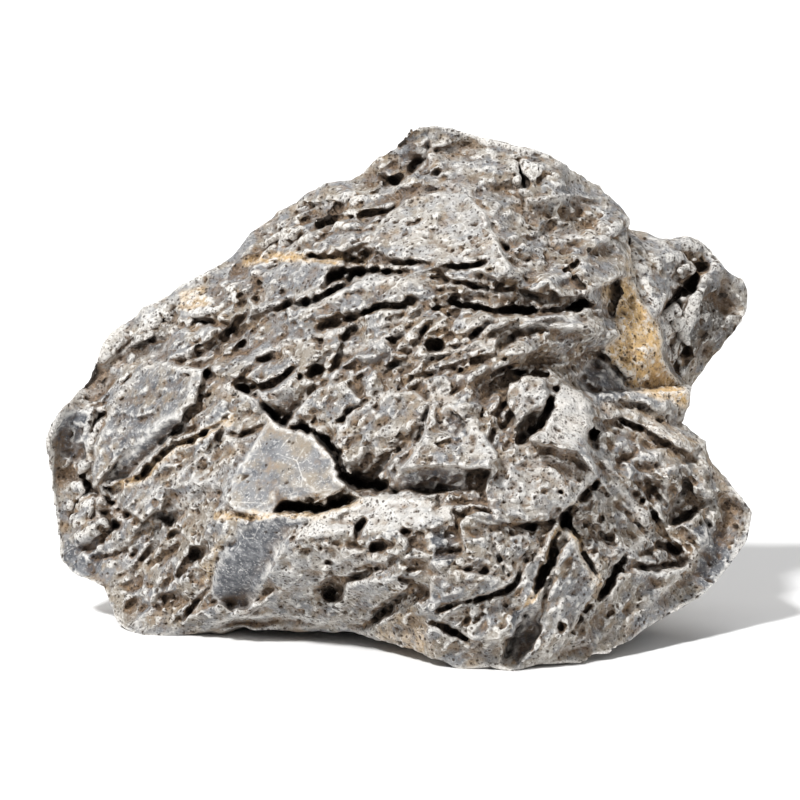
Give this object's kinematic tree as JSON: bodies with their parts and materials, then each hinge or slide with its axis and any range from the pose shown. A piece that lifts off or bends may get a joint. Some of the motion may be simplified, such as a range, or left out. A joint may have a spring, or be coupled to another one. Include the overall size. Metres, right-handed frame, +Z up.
{
  "type": "seiryu stone",
  "caption": "Rugged block of grey limestone for an aquarium, with ledges, deep crevices, pits and sharp crests, that rests on flat spots of its underside.",
  "frame": {"origin": "middle of the stone's box on the level that it rests on", "axes": "+X to the right along the stone's longest extent, +Y to the hidden back, +Z up"},
  "size_m": [0.2096, 0.1642, 0.1456],
  "materials": {
    "stone": "matt, weathered"
  },
  "bodies": {
    "root": {"stone": "stone"}
  },
  "joints": []
}
